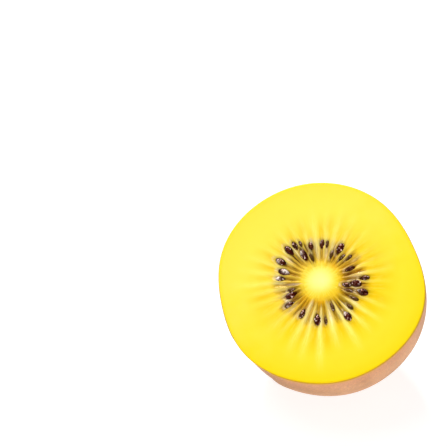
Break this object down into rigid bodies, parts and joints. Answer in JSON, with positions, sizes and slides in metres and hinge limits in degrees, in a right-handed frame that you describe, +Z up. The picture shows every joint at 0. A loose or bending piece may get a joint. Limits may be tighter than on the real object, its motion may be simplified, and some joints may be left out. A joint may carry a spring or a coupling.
{
  "type": "half golden kiwi fruit",
  "caption": "Crosswise half of a golden kiwi fruit: brown skin, golden flesh with ray-shaped relief and dark seeds round a pale core, resting on a small flat spot.",
  "frame": {"origin": "centre of the small flat spot that the half rests on", "axes": "+Z up; the cut face looks up and leans 28 degrees from level towards -Y; the blossom end points down and towards +Y; X is level across the cut face"},
  "size_m": [0.0527, 0.0514, 0.0445],
  "materials": {
    "skin": "matte brown skin with fine pale speckles",
    "flesh": "moist, bright golden flesh, paler along its rays, with glossy dark seeds",
    "core": "moist, pale yellow core",
    "seed": "glossy, finely netted, dark purple-brown seeds"
  },
  "bodies": {
    "root": {"skin": "skin", "flesh": "flesh", "core": "core"}
  },
  "joints": []
}
